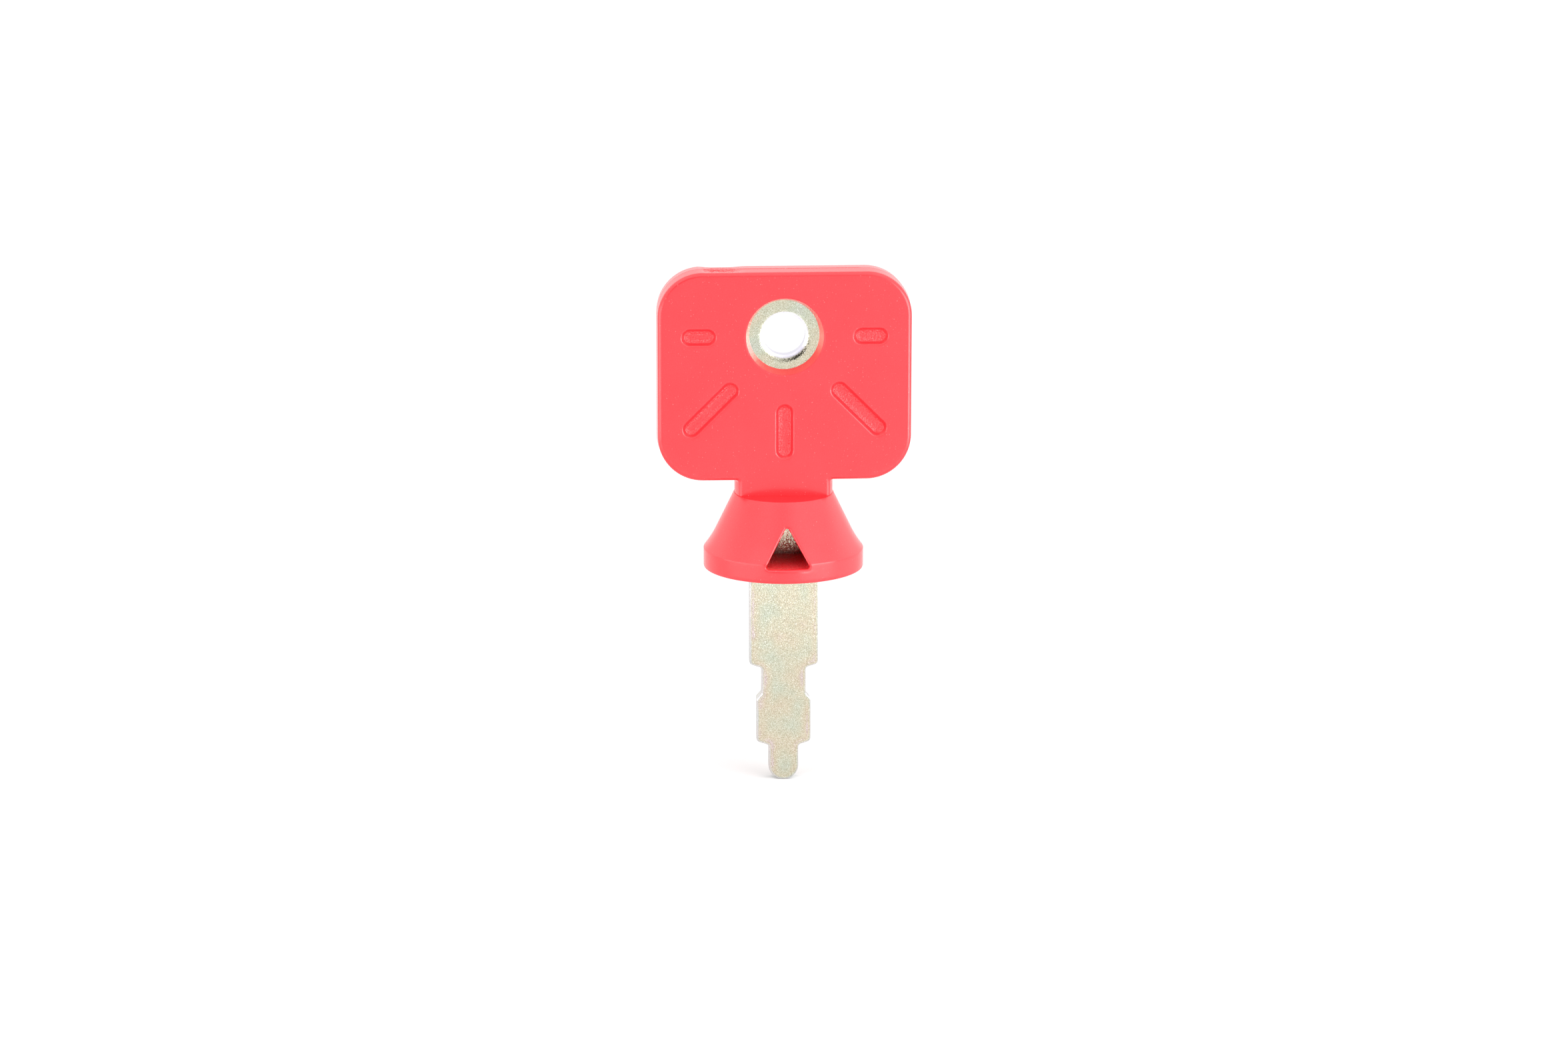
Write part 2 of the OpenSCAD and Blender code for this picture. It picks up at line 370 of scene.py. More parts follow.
head = {
    "bowWidth": 38,
    "bowHeight": 31.7,
    "thickness": 6.4,
    "bowCorner": 6.8,
    "edgeRound": 0.6,
    "draft": 0.12,  # each mould half draws in by this much from the parting line to its face
    "partingGroove": (0.1, 0.1),  # half width and depth of the witness line
    "halfMismatch": 0.03,  # the back half of the mould is this much smaller all round
    "seamDip": (0.22, 0.28),  # and what it gains in both along the top edge
    "seamRun": (9.5, 12.2),  # which fades out between these distances from the middle
    "flashSpeck": (0.22, 0.08, 0.2),  # the x of a speck of flash, and the radius of its top and its foot
    "gateMark": (-13.2, -5.6, 0.22),  # from, to along the top edge, and depth of the trimmed gate
    "gateFade": (2.6, -2.9, -1.2),  # it fades over this length at its ends, and in front between these y
    "gateTear": 0.45,  # how uneven the torn part is, as a share of the depth
    "gateFinish": 1.6,  # 0 is the skin, 1 the print of a milled core, and 2 quite matt
    "neckRadius": 7.36,
    "neckHeight": 2.3,
    "neckFillet": 0.5,
    "ledgeRadius": 7.48,
    "ledgeRound": 0.1,
    "ledgeHeight": 11.4,
    "collarRadius": 12,
    "bandHeight": 2.9,
    "bellHollow": 2.2,  # degrees that the bell starts steeper than straight
    "flareRise": 2.9,
    "creaseRound": 0.25,
    "footRound": 0.25,
}
headFace = head["thickness"] / 2
bowFoot = head["ledgeHeight"] + head["neckHeight"]
bowTop = bowFoot + head["bowHeight"]

window = {
    "markRadius": 5.99,  # a fine step where the core pin stood in the mould
    "markDepth": 0.03,
    "markWidth": 0.04,
    "radius": 5.8,
    "seatRadius": 5.25,
    "seatUneven": 0.025,  # the plastic's feather edge on the steel wavers by this much
    "rimRound": 0.1,
}

slots = {
    "rays": ((0, 5.2), (-45, 10.8), (-90, 8.4), (-135, 10.8), (180, 5.2)),  # direction, length
    "start": 10.2,  # from the eye's centre
    "width": 2.66,
    "depth": 0.74,
    "wallFoot": (0.9, 0.57),  # where the steep wall meets the hollow floor: half width and depth
    "rimRound": 0.28,
    "footRound": 0.05,
    "floorFlat": 0.24,  # half width of the flat strip down the middle
    "chatterPitch": 0.42,
    "chatterHeight": 0.018,
    "chatterEdge": (0.68, 0.84),  # half widths between which the chatter fades out
    "milledEdge": (0.8, 0.93),  # and those between which the milled finish does
    "milledMiddle": (0.3, 0.55),  # towards the middle the cutter left less, down to 0.3 of it
}

triangle = {
    "side": 6.9,
    "cornerRound": 0.35,
    "height": 2.1,
    "rimRound": 0.42,
    # the mouth's walls are matt, and their deeper red is painted shade for the recess
    "wallFinish": 2.0,
}


def partingGroove(y):
    half, depth = head["partingGroove"]
    return depth * (1 - smoothStep(0, half, abs(y)))


def neckHalf(y):
    # the neck is a round bar cut flat front and back, with rounded edges
    y = abs(y)
    spoke = head["neckRadius"] - head["edgeRound"]
    arcY = headFace - head["edgeRound"]
    arcX = math.sqrt(spoke ** 2 - arcY ** 2)
    if y < arcY * head["neckRadius"] / spoke:
        return math.sqrt(head["neckRadius"] ** 2 - y * y) - partingGroove(y)
    return arcX + math.sqrt(max(0, head["edgeRound"] ** 2 - (y - arcY) ** 2))


def gateCut(x, y):
    # the gate was broken off and trimmed, which leaves a torn patch along the parting line
    start, end, depth = head["gateMark"]
    fade, front, full = head["gateFade"]
    across = smoothStep(front, full, y + 0.4 * noise.noise(Vector((x * 2, 0, 5))))
    along = smoothStep(start, start + fade, x) * (1 - smoothStep(end - fade, end, x))
    uneven = noise.noise(Vector((x * 2.6, y * 3.5, 1.7)))
    torn = head["gateTear"] * uneven * (1 - smoothStep(0.5, 1.6, abs(y)))
    return depth * across * along * (0.8 + torn)


def seamDip(x, y):
    half, depth = head["seamDip"]
    return depth * (1 - smoothStep(0, half, abs(y))) * (1 - smoothStep(*head["seamRun"], abs(x)))


def flashSpeck(x, y):
    # a speck of flash bridges the parting line in the middle of the top edge
    middle, top, foot = head["flashSpeck"]
    rise = head["partingGroove"][1] + head["seamDip"][1]
    return rise * (1 - smoothStep(top, foot, math.hypot(x - middle, y)))


def bowOutline(inset, y, turn):
    # from the neck's foot up the right side to the middle of the top, then mirrored
    neckX = neckHalf(y)
    fillet = head["neckFillet"]
    foot = bowFoot + inset
    cornerX = head["bowWidth"] / 2 - head["bowCorner"]
    radius = head["bowCorner"] - inset
    lowZ = bowFoot + head["bowCorner"]
    highZ = bowTop - head["bowCorner"]
    neckTop = foot - fillet

    def arc(x, z, size, *angles):
        return [(x + size * math.cos(a), z + size * math.sin(a)) for a in degrees(*angles)]

    half = [(neckX, head["ledgeHeight"] + (neckTop - head["ledgeHeight"]) * k / 4) for k in range(4)]
    half += arc(neckX + fillet, neckTop, fillet, *range(180, 89, -15))
    half += [(neckX + fillet + (cornerX - neckX - fillet) * k / 6, foot) for k in range(1, 6)]
    half += arc(cornerX, lowZ, radius, *range(-90, 1, 5))
    half += [(cornerX + radius, lowZ + (highZ - lowZ) * k / 16) for k in range(1, 16)]
    half += arc(cornerX, highZ, radius, *range(0, 91, 5))
    edgeX = [cornerX - 0.25 * k for k in range(1, 21)]  # finer where the gate was
    edgeX += [edgeX[-1] - 0.8 * k for k in range(1, 9)]
    edgeX += [0.6, 0.45, 0.3, 0.2, 0.1, 0]  # and round the speck of flash
    half += [(x, bowTop - inset) for x in edgeX]
    points = half + [(-x, z) for x, z in reversed(half[:-1])]
    outline = []
    for x, z in points:
        if z > bowTop - inset - 1e-6:
            z += flashSpeck(x * turn, y * turn) - seamDip(x, y) - max(0, gateCut(x * turn, y * turn))
            z = min(bowTop - 0.01, z)
        outline.append((x, y, z))
    return outline


def placed(coords, turn):
    # a half turn about the axis carries every front feature to the back
    return [(turn * x, turn * y, z) for x, y, z in coords]


def bowRings(shell, turn):
    # from the flat face round its edge and over the wall to the parting line
    edge, draft = head["edgeRound"], head["draft"]
    smaller = head["halfMismatch"] if turn < 0 else 0
    wallStart = headFace - edge
    wallLevels = (2.2, 1.5, 0.95, 0.8, 0.65, 0.5, 0.36, 0.24, 0.16, 0.11, 0.08, 0.055, 0.03, 0)
    levels = []
    for a in degrees(*range(0, 90, 10)):
        inset = draft * wallStart / headFace + edge * (1 - math.sin(a))
        levels.append((inset, wallStart + edge * math.cos(a), -1))
    for y in (wallStart, *wallLevels):  # finer towards the groove
        levels.append((draft * y / headFace + partingGroove(y), y, 0 if y > 0.3 else -1))
    rings = []
    for inset, y, _ in levels:
        outline = bowOutline(inset + smaller * smoothStep(0, 0.3, y), -y, turn)
        torn = []
        for x, _, z in outline:
            cut = gateCut(x * turn, -y * turn) if z > bowTop - 1.5 else 0
            torn.append(head["gateFinish"] * smoothStep(0, 0.25, cut))  # the deeper, the more matt
        rings.append(shell.add(placed(outline, turn), torn))
    for near, far, (_, _, strength) in zip(rings, rings[1:], levels[1:]):
        shell.band(near, far, closed=False, strength=strength)
    return rings


def windowRings(shell, turn):
    profile = roundedPath([
        (window["markRadius"], 0, 0),
        (window["markRadius"] - window["markWidth"], window["markDepth"], window["markWidth"] / 2),
        (window["radius"], window["markDepth"], window["rimRound"]),
        (window["seatRadius"], headFace - plateFace, 0),
    ], steps=6)
    rings = []
    for k, (radius, depth) in enumerate(profile):
        last = k == len(profile) - 1
        ring = []
        for a in degrees(*range(0, 360, 3)):
            r = radius
            if last:
                r += window["seatUneven"] * noise.noise(Vector((math.cos(a) * 6, math.sin(a) * 6, turn)))
            ring.append((r * math.cos(a), -headFace + depth, eyeCentre.y + r * math.sin(a)))
        rings.append(shell.add(placed(ring, turn)))
    shell.bands(rings, strength=-1)
    return rings


def slotChatter(along, across, seed):
    # short ridges left on the floor by the cutter that sank the slot into the mould
    drift = noise.noise(Vector((along * 0.9, across * 1.2, seed)))
    wave = math.sin(2 * math.pi * (along / slots["chatterPitch"] + 0.3 * across + 0.9 * drift))
    strong = 0.3 + abs(noise.noise(Vector((along * 1.3, across * 1.6, seed + 9))))
    return slots["chatterHeight"] * wave * strong * (1 - smoothStep(*slots["chatterEdge"], abs(across)))


def slotProfile():
    # (half width, depth) from the face down a steep wall and over the hollow floor
    footHalf, footDepth = slots["wallFoot"]
    flat, depth = slots["floorFlat"], slots["depth"]
    wide, deep = footHalf - flat, depth - footDepth
    radius = (wide ** 2 + deep ** 2) / (2 * deep)
    sweep = math.asin(wide / radius)
    angles = [sweep * k / 5 for k in (4, 3, 2, 1, 0)]
    hollow = [(flat + radius * math.sin(a), depth - radius * (1 - math.cos(a)), 0) for a in angles]
    return roundedPath([
        (slots["width"] / 2 + 1, 0, 0),
        (slots["width"] / 2, 0, slots["rimRound"]),
        (footHalf, footDepth, slots["footRound"]),
        *hollow,
        (flat * 2 / 3, depth, 0),
        (flat / 3, depth, 0),
    ], steps=5)[1:]


def slotRings(shell, ray, length, turn):
    # rings round one slot, from its rim in to a narrow strip along its middle
    direction = math.radians(ray)
    low = slots["start"] + slots["width"] / 2
    high = slots["start"] + length - slots["width"] / 2
    straight = round((high - low) / 0.12)  # close enough for the chatter to show
    spine = [(high, a) for a in degrees(*range(-90, 90, 9))]
    spine += [(high + (low - high) * k / straight, math.pi / 2) for k in range(straight)]
    spine += [(low, a) for a in degrees(*range(90, 270, 9))]
    spine += [(low + (high - low) * k / straight, -math.pi / 2) for k in range(straight)]
    floorHalf = slots["wallFoot"][0] - slots["footRound"]
    rings = []
    for half, depth in slotProfile():
        ring = []
        for centre, a in spine:
            along, across = centre + half * math.cos(a), half * math.sin(a)
            sunk = depth - (slotChatter(along, across, ray + 40 * turn) if half < floorHalf else 0)
            x = along * math.cos(direction) - across * math.sin(direction)
            z = eyeCentre.y + along * math.sin(direction) + across * math.cos(direction)
            ring.append((x, -headFace + sunk, z))
        middle = 0.3 + 0.7 * smoothStep(*slots["milledMiddle"], half)
        milled = (1 - smoothStep(*slots["milledEdge"], half)) * middle
        rings.append(shell.add(placed(ring, turn), milled))
    shell.bands(rings, strength=-1)
    shell.fill([rings[-1]], lambda i: (shell.points[i].x, shell.points[i].z), strength=-1)
    return rings[0]


def bellProfile():
    # (radius, height) down the collar, from its ledge to its underside
    start = Vector((head["ledgeRadius"], head["ledgeHeight"]))
    foot = Vector((head["collarRadius"], head["bandHeight"]))
    angle = math.atan2(foot.x - start.x, start.y - foot.y) - math.radians(head["bellHollow"])
    straight = start.y - foot.y - head["flareRise"]
    flare = start + Vector((math.tan(angle), -1)) * straight
    chord = foot - flare
    out = Vector((math.cos(angle), math.sin(angle)))
    radius = chord.length_squared / (2 * chord.dot(out))
    centre = flare + out * radius
    first = math.atan2(*(flare - centre).yx)
    sweep = 2 * math.asin(chord.length / 2 / radius)
    angles = [first + sweep * k / 8 for k in range(1, 8)]
    arc = [centre + radius * Vector((math.cos(a), math.sin(a))) for a in angles]
    return roundedPath([
        (start.x - head["ledgeRound"], start.y, 0),
        (start.x, start.y, head["ledgeRound"]),
        (flare.x, flare.y, 0),
        *[(p.x, p.y, 0) for p in arc],
        (foot.x, foot.y, head["creaseRound"]),
        (foot.x, 0, head["footRound"]),
        (foot.x - head["footRound"], 0, 0),
    ], steps=5, longest=0.42)


def bellRadius(profile, z):
    for upper, lower in zip(profile, profile[1:]):
        if upper.y >= z >= lower.y and upper.y > lower.y:
            return upper.lerp(lower, (upper.y - z) / (upper.y - lower.y)).x
    return profile[-1].x


def triangleOutline():
    half, low = triangle["side"] / 2, triangle["height"]
    peak = low + triangle["side"] * math.sin(math.radians(60))
    ring = roundedPath([
        (0, low, 0),
        (half, low, triangle["cornerRound"]),
        (0, peak, triangle["cornerRound"]),
        (-half, low, triangle["cornerRound"]),
        (0, low, 0),
    ], steps=6, longest=0.4)
    return ring[:-1]


def mouthRings(shell, profile, turn):
    # the triangle's rounded rim follows the bell, then its walls run level to the steel
    outline = triangleOutline()
    normals = outwards(outline)
    rim = triangle["rimRound"]
    rimSteps = degrees(*range(0, 91, 15))
    rings = []
    for a in rimSteps:
        ring = []
        for p, n in zip(outline, normals):
            x, z = p + n * rim * (1 - math.sin(a))
            surface = -math.sqrt(bellRadius(profile, z) ** 2 - x * x)
            ring.append((x, surface + rim * (1 - math.cos(a)), z))
        rings.append(shell.add(placed(ring, turn)))
    edge = [shell.points[i] for i in rings[-1]]
    for k in range(1, 9):
        ring = [(p.x * turn, p.y * turn + (-plateFace - p.y * turn) * k / 8, p.z) for p in edge]
        rings.append(shell.add(placed(ring, turn), triangle["wallFinish"]))
    shell.bands(rings[:len(rimSteps)], strength=-1)
    shell.bands(rings[len(rimSteps) - 1:])
    return rings


def collarHalf(shell, turn):
    profile = bellProfile()
    run = [0]
    for upper, lower in zip(profile, profile[1:]):
        run.append(run[-1] + (lower - upper).length)
    columns = 90
    angles = [math.pi * j / columns for j in range(columns + 1)]
    meanRadius = 11
    rows = []
    unrolled = {}  # where each point lies when the bell is rolled out flat
    for k, (radius, z) in enumerate(profile):
        row = [(radius * math.cos(a), -radius * math.sin(a), z) for a in angles]
        rows.append(shell.add(placed(row, turn)))
        for j, i in enumerate(rows[-1]):
            unrolled[i] = (meanRadius * angles[j], run[k])
    mouth = mouthRings(shell, profile, turn)
    for i in mouth[0]:
        x, y, z = shell.points[i]
        k = max(k for k in range(len(profile)) if profile[k].y >= z - 1e-9)
        k = min(k, len(profile) - 2)
        share = (profile[k].y - z) / (profile[k].y - profile[k + 1].y)
        unrolled[i] = (meanRadius * math.atan2(-y * turn, x * turn), between(run[k:k + 2], share))
    # the rows and columns round the mouth give way to triangles
    acrossMouth = [unrolled[i][0] for i in mouth[0]]
    downMouth = [unrolled[i][1] for i in mouth[0]]
    firstColumn = int(min(acrossMouth) / meanRadius / math.pi * columns) - 1
    lastColumn = math.ceil(max(acrossMouth) / meanRadius / math.pi * columns) + 1
    firstRow = max(k for k in range(len(run)) if run[k] < min(downMouth)) - 1
    lastRow = min(k for k in range(len(run)) if run[k] > max(downMouth)) + 1
    lastRow = min(lastRow, len(run) - 2)
    for k in range(len(rows) - 1):
        for j in range(columns):
            if not (firstRow <= k < lastRow and firstColumn <= j < lastColumn):
                shell.faces.append((rows[k][j], rows[k][j + 1], rows[k + 1][j + 1], rows[k + 1][j]))
                shell.strengths.append(1)
    border = [rows[firstRow][j] for j in range(firstColumn, lastColumn)]
    border += [rows[k][lastColumn] for k in range(firstRow, lastRow)]
    border += [rows[lastRow][j] for j in range(lastColumn, firstColumn, -1)]
    border += [rows[k][firstColumn] for k in range(lastRow, firstRow, -1)]
    rim = [Vector(unrolled[i]) for i in mouth[0]]
    clear = 0.22
    loose = []
    for k in range(firstRow + 1, lastRow):
        for j in range(firstColumn + 1, lastColumn):
            point = Vector(unrolled[rows[k][j]])
            if min((point - r).length for r in rim) > clear and not insideOutline(point, rim):
                loose.append(rows[k][j])
    shell.fill([border, mouth[0]], lambda i: unrolled[i], loose, 1)
    return rows, mouth


def clearOfRims(x, z):
    # true for a spot on the flat face, away from the window, the slots and the outline
    clearOfWindow, clearOfFoot, clearOfNeck, clearOfEdge, clearOfSlot = 0.4, 0.6, 0.3, 1, 0.5
    fromEye = Vector((x, z - eyeCentre.y))
    if fromEye.length < window["markRadius"] + clearOfWindow:
        return False
    inNeck = z < bowFoot + clearOfFoot
    if inNeck and abs(x) > neckHalf(headFace) - clearOfNeck:
        return False
    cornerX, cornerZ = (head[size] / 2 - head["bowCorner"] for size in ("bowWidth", "bowHeight"))
    over = Vector((max(0, abs(x) - cornerX), max(0, abs(z - (bowFoot + bowTop) / 2) - cornerZ)))
    if not inNeck and over.length > head["bowCorner"] - clearOfEdge:
        return False
    for ray, length in slots["rays"]:
        way = Vector((math.cos(math.radians(ray)), math.sin(math.radians(ray))))
        low, high = slots["start"] + slots["width"] / 2, slots["start"] + length - slots["width"] / 2
        nearest = way * min(high, max(low, fromEye.dot(way)))
        if (fromEye - nearest).length < slots["width"] / 2 + clearOfSlot:
            return False
    return True


def headHalf(shell, turn):
    rings = bowRings(shell, turn)
    eyeRings = windowRings(shell, turn)
    slotRims = [slotRings(shell, ray, length, turn) for ray, length in slots["rays"]]
    left, right = (shell.points[rings[0][i]] for i in (-1, 0))
    base = shell.add([left.lerp(right, k / 12) for k in range(1, 12)])
    face = rings[0] + base
    rims = [eyeRings[0]] + slotRims
    # a loose grid keeps the triangles of the flat face even
    pitch, clear = 1.2, 0.5
    grid = []
    for i in range(-15, 16):
        for k in range(27):
            grid.append((i * pitch, -headFace, head["ledgeHeight"] + 1 + k * pitch))
    taken = [shell.points[i] for loop in [face] + rims for i in loop]
    free = []
    for point in placed(grid, turn):
        x, z = point[0] * turn, point[2]
        if clearOfRims(x, z) and min((Vector(point) - t).length for t in taken) > clear:
            free.append(point)
    shell.fill([face] + rims, lambda i: (shell.points[i].x, shell.points[i].z), shell.add(free))
    rows, mouth = collarHalf(shell, turn)
    # the level ledge round the neck's section
    section = [ring[-1] for ring in reversed(rings)] + base + [ring[0] for ring in rings]
    shell.fill([rows[0] + section], lambda i: (shell.points[i].x, shell.points[i].y))
    # the space that the steel fills, from the underside up to the eye
    cavity = [Vector((stemHalf, eyeFoot * k / 20)) for k in range(20)] + eyeArc()
    cavity += [Vector((-stemHalf, eyeFoot * k / 20)) for k in range(19, -1, -1)]
    wall = shell.add(placed([(p.x, -plateFace, p.y) for p in cavity], turn))
    middle = shell.add(placed([(p.x, 0, p.y) for p in cavity], turn))
    shell.band(wall, middle, closed=False, strength=2)
    shell.fill([wall, eyeRings[-1], mouth[-1]], lambda i: (shell.points[i].x, shell.points[i].z))
    foot = rows[-1] + [middle[-1], wall[-1], wall[0], middle[0]]
    shell.fill([foot], lambda i: (shell.points[i].x, shell.points[i].y))


def buildPlasticHead():
    shell = Shell()
    headHalf(shell, 1)
    headHalf(shell, -1)
    return shell.toObject("plasticHead")


plasticHead = buildPlasticHead()
print("shapes built")


def startMaterial(name):
    material = bpy.data.materials.new(name)
    material.use_nodes = True
    material.node_tree.nodes.clear()
    return material, material.node_tree


def perMetre(size):
    # the texture scale that gives features of so many millimetres
    return 1 / (size * mm)


plasticFinish = {
    "colour": "#DE2930",
    "colourPale": "#DF2F36",
    "speck": "#F7989A",
    "deepShadeColour": "#DC1E28",  # painted shade: a deeper red where the finish is matt, standing in for shade in the triangle's mouth; the trimmed gate gets it too
    "roughness": 0.2,
    "coreRoughness": 0.08,
    "mattRoughness": 0.5,
    "ior": 1.54,
    "grainShade": (0.9, 1.1),
    "grainPatches": (0.45, 0.7, 0.25),  # between these flow values the grain grows from this share to full
    "speckPale": 0.8,
    "speckLuck": 9,  # the higher, the fewer of the specks show
    "throughShare": 0.6,  # of the light goes through the matt walls, and comes out red
    "throughColour": (1, 0.06, 0.06),
    "flowSize": 5,  # mm, as are the sizes below
    "grainSize": 0.2,
    "grainDepth": 0.004,
    "speckSpacing": 0.45,
    "speckHeight": 0.02,
    "coreGrainSize": 0.24,
    "coreGrainDepth": 0.22,
    "throughReach": 2,
}


def injectionMouldedAbs():
    # ABS shot into a steel mould: an even, saturated colour under a satin skin, with fine grain and
    # specks on the skin, tool marks where the mould's cores were only milled, and matt walls and scars
    # where it was never polished, painted a deeper red that stands in for shade in the triangle's mouth
    material, tree = startMaterial("injectionMouldedAbs")
    place = addNode(tree, "ShaderNodeTexCoord").outputs["Object"]
    finish = addNode(tree, "ShaderNodeAttribute", {"attribute_name": "finish"}).outputs["Fac"]
    flow = addNode(tree, "ShaderNodeTexNoise", inputs={
        "Vector": place, "Scale": perMetre(plasticFinish["flowSize"]), "Detail": 3})
    grain = addNode(tree, "ShaderNodeTexNoise", inputs={
        "Vector": place, "Scale": perMetre(plasticFinish["grainSize"]), "Detail": 1})
    tint = addNode(tree, "ShaderNodeMix", colourMix, {
        0: flow.outputs["Fac"],
        6: toLinear(plasticFinish["colour"]), 7: toLinear(plasticFinish["colourPale"])})
    darkest, palest = plasticFinish["grainShade"]
    grained = addNode(tree, "ShaderNodeMapRange", inputs={
        "Value": grain.outputs["Fac"], "From Min": 0.3, "From Max": 0.7,
        "To Min": darkest, "To Max": palest})
    tinted = addNode(tree, "ShaderNodeVectorMath", {"operation": "SCALE"}, {
        0: tint.outputs[2], "Scale": grained.outputs["Result"]})
    # each cell holds one speck, most of them too faint to see
    specks = addNode(tree, "ShaderNodeTexVoronoi", inputs={
        "Vector": place, "Scale": perMetre(plasticFinish["speckSpacing"])})
    speckEdge = addNode(tree, "ShaderNodeMapRange", softStep, {
        "Value": specks.outputs["Distance"], "From Min": 0.03, "From Max": 0.22,
        "To Min": plasticFinish["speckPale"], "To Max": 0})
    luck = addNode(tree, "ShaderNodeMath", {"operation": "POWER"}, {
        0: specks.outputs["Color"], 1: plasticFinish["speckLuck"]})
    speck = addNode(tree, "ShaderNodeMath", {"operation": "MULTIPLY"}, {
        0: speckEdge.outputs["Result"], 1: luck.outputs["Value"]})
    dusty = addNode(tree, "ShaderNodeMix", colourMix, {
        0: speck.outputs["Value"], 6: tinted.outputs["Vector"], 7: toLinear(plasticFinish["speck"])})
    # the skin's grain comes and goes in patches
    patchFrom, patchFull, leastGrain = plasticFinish["grainPatches"]
    patches = addNode(tree, "ShaderNodeMapRange", softStep, {
        "Value": flow.outputs["Fac"], "From Min": patchFrom, "From Max": patchFull,
        "To Min": leastGrain, "To Max": 1})
    relief = addNode(tree, "ShaderNodeBump", inputs={
        "Height": grain.outputs["Fac"], "Strength": patches.outputs["Result"],
        "Distance": plasticFinish["grainDepth"] * mm})
    raised = addNode(tree, "ShaderNodeBump", inputs={
        "Height": speck.outputs["Value"], "Strength": 0.5,
        "Distance": plasticFinish["speckHeight"] * mm, "Normal": relief.outputs["Normal"]})
    # up to a finish of 1 the core's print grows, and from there to 2 the surface turns matt and takes a
    # deeper red, painted shade in the triangle's mouth
    coreGrain = addNode(tree, "ShaderNodeTexNoise", inputs={
        "Vector": place, "Scale": perMetre(plasticFinish["coreGrainSize"]), "Detail": 2})
    rough = addNode(tree, "ShaderNodeBump", inputs={
        "Height": coreGrain.outputs["Fac"], "Strength": finish,
        "Distance": plasticFinish["coreGrainDepth"] * mm, "Normal": raised.outputs["Normal"]})
    milledSkin = addNode(tree, "ShaderNodeMapRange", inputs={
        "Value": finish, "To Min": plasticFinish["roughness"], "To Max": plasticFinish["coreRoughness"]})
    mattAndShaded = addNode(tree, "ShaderNodeMapRange", inputs={"Value": finish, "From Min": 1, "From Max": 2})
    roughness = addNode(tree, "ShaderNodeMix", numberMix, {
        0: mattAndShaded.outputs["Result"], 2: milledSkin.outputs["Result"], 3: plasticFinish["mattRoughness"]})
    # painted shade: the matt share mixes in the deeper red
    deep = addNode(tree, "ShaderNodeMix", colourMix, {
        0: mattAndShaded.outputs["Result"], 6: dusty.outputs[2], 7: toLinear(plasticFinish["deepShadeColour"])})
    through = addNode(tree, "ShaderNodeMath", {"operation": "MULTIPLY"}, {
        0: mattAndShaded.outputs["Result"], 1: plasticFinish["throughShare"]})
    skin = addNode(tree, "ShaderNodeBsdfPrincipled", inputs={
        "Base Color": deep.outputs[2], "Roughness": roughness.outputs[0], "IOR": plasticFinish["ior"],
        "Normal": rough.outputs["Normal"], "Subsurface Weight": through.outputs["Value"],
        "Subsurface Radius": plasticFinish["throughColour"],
        "Subsurface Scale": plasticFinish["throughReach"] * mm})
    addNode(tree, "ShaderNodeOutputMaterial", inputs={"Surface": skin.outputs["BSDF"]})
    return material


steelFinish = {
    "film": ((0.3, "#D3C5C4"), (0.38, "#D3C9B4"), (0.47, "#CFCBB6"), (0.58, "#C8CDBC"), (0.72, "#CBCBC5")),
    "filmRange": (0.2, 0.8),
    "edgeShift": -0.14,  # where the film is thinner, along the edges
    "grainShadow": "#DCDAD2",
    "grainEdge": (0.36, 0.6),
    # painted highlight: the colour that a few crystals are mixed towards as glints
    "paintedGlint": "#FFFFFA",
    "paintedGlintLuck": (0.8, 0.93, 0.65),  # painted glints: crystals above the first value are whitened, fully above the second, by the last share
    "rubbed": "#CFCBD8",
    "roughness": 0.14,
    "rubbedRoughness": 0.2,
    "crystalTilt": 0.058,  # how far a crystal's face leans, on the blade
    "rawTilt": 0.085,  # where the steel is hidden in the plastic
    "rubbedTilt": 0.03,
    "filmSize": 4.5,  # mm, as are the sizes and heights below
    "grainSize": 0.16,
    "crystalSize": 0.09,
    "rawFrom": (1, 3),
    "eyeFrom": (18, 26),
    "eyeRaw": 0.35,  # share of the rawness that is left on the eye
}


